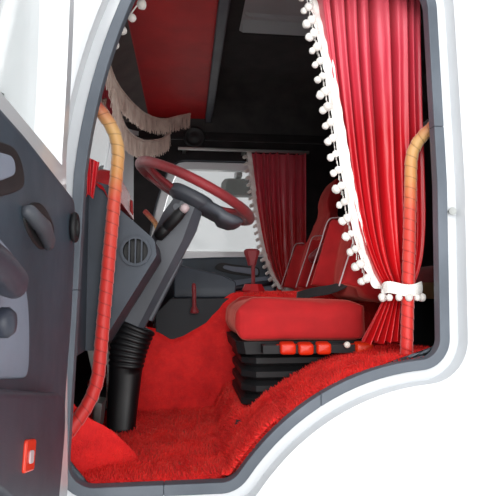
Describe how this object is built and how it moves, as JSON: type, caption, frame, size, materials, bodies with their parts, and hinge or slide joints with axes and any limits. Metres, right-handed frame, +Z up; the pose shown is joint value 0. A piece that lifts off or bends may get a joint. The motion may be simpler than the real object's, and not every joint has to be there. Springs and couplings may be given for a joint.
{
  "type": "decorated truck cab",
  "caption": "Cab-over sleeper truck cab with an open driver's door, red fur carpets, satin curtains, fringed trim, sprung seats, wheel, bunk, mirrors and tilt brackets.",
  "frame": {"origin": "middle of the cab's front tilt axis, between the two tilt brackets", "axes": "+X rearwards, +Y to the cab's right, +Z up"},
  "size_m": [2.294, 3.847, 2.6463],
  "materials": {
    "body_paint": "gloss white paint",
    "undercoat": "matt",
    "chassis_paint": "satin",
    "clear_glass": "clear",
    "dark_lining": "matt",
    "pale_lining": "matt",
    "seal_rubber": "matt",
    "plain_steel": "satin",
    "step_metal": "satin",
    "black_plastic": "grained",
    "dash_plastic": "grained",
    "grey_plastic": "grained",
    "door_plastic": "grained",
    "red_plastic": "satin",
    "red_leather": "satin",
    "dark_red_leather": "satin",
    "boot_rubber": "satin",
    "bellows_black": "matt",
    "seat_fabric": "velour",
    "plywood": "raw",
    "mattress_fabric": "velour",
    "red_fur": "long pile",
    "curtain_satin": "satin",
    "wrap_cloth": "wound cloth"
  },
  "bodies": {
    "cab": {"side_wall_left": "body_paint", "side_wall_right": "body_paint", "rear_wall": "body_paint", "front_wall": "undercoat", "front_panel": "body_paint", "windscreen": "clear_glass", "roof_shell": "body_paint", "wall_lining": "dark_lining", "headliner": "pale_lining", "door_seals": "seal_rubber", "door_hardware": "plain_steel", "floor_pan": "undercoat", "engine_tunnel": "undercoat", "wheel_humps": "undercoat", "underframe": "chassis_paint", "entry_steps": "step_metal", "side_mirrors": "black_plastic", "wipers": "black_plastic", "dashboard": "dash_plastic", "binnacle": "red_leather", "centre_console": "dash_plastic", "gear_gaiter": "red_leather", "gear_lever": "dark_red_leather", "steering_column": "grey_plastic", "column_boot": "boot_rubber", "pedals": "plain_steel", "overhead_shelf": "red_leather", "curtain_tracks": "plain_steel", "seat_bases": "bellows_black", "seat_levers": "red_plastic", "bunk_base": "plywood", "bunk_mattress": "mattress_fabric", "floor_carpets": "red_fur", "tunnel_cover": "red_fur", "curtain_left": "curtain_satin", "curtain_right": "curtain_satin", "screen_valance": "curtain_satin", "grab_rails": "wrap_cloth"},
    "left_door": {"door_shell_left": "body_paint", "door_glass_left": "clear_glass", "door_trim_left": "door_plastic"},
    "right_door": {"door_shell_right": "body_paint", "door_glass_right": "clear_glass", "door_trim_right": "door_plastic", "kerb_mirror": "black_plastic"},
    "wheel": {"steering_wheel": "dark_red_leather"},
    "hatch": {"hatch_lid": "body_paint"},
    "driver_seat": {"seat_cushion_driver": "seat_fabric", "seat_back_driver": "seat_fabric"},
    "passenger_seat": {"seat_cushion_passenger": "seat_fabric", "seat_back_passenger": "seat_fabric"}
  },
  "joints": [
    {"name": "left_door_hinge", "type": "hinge", "parent": "cab", "child": "left_door", "pos_m": [0.107, -1.233, 0.6], "axis": [0, 0, 1], "range_deg": [0, 88]},
    {"name": "right_door_hinge", "type": "hinge", "parent": "cab", "child": "right_door", "pos_m": [0.107, 1.233, 0.6], "axis": [0, 0, 1], "range_deg": [0, 88]},
    {"name": "steering_wheel_turn", "type": "hinge", "parent": "cab", "child": "wheel", "pos_m": [0.481, -0.62, 1.102], "axis": [0.4384, 0, 0.8988], "range_deg": [-720, 720]},
    {"name": "hatch_hinge", "type": "hinge", "parent": "cab", "child": "hatch", "pos_m": [0.674, 0, 2.2753], "axis": [0, 1, 0], "range_deg": [-25, 0]},
    {"name": "driver_seat_slide", "type": "slide", "parent": "cab", "child": "driver_seat", "axis": [1, 0, 0], "range_m": [-0.08, 0.1]},
    {"name": "passenger_seat_slide", "type": "slide", "parent": "cab", "child": "passenger_seat", "axis": [1, 0, 0], "range_m": [-0.18, 0]}
  ]
}
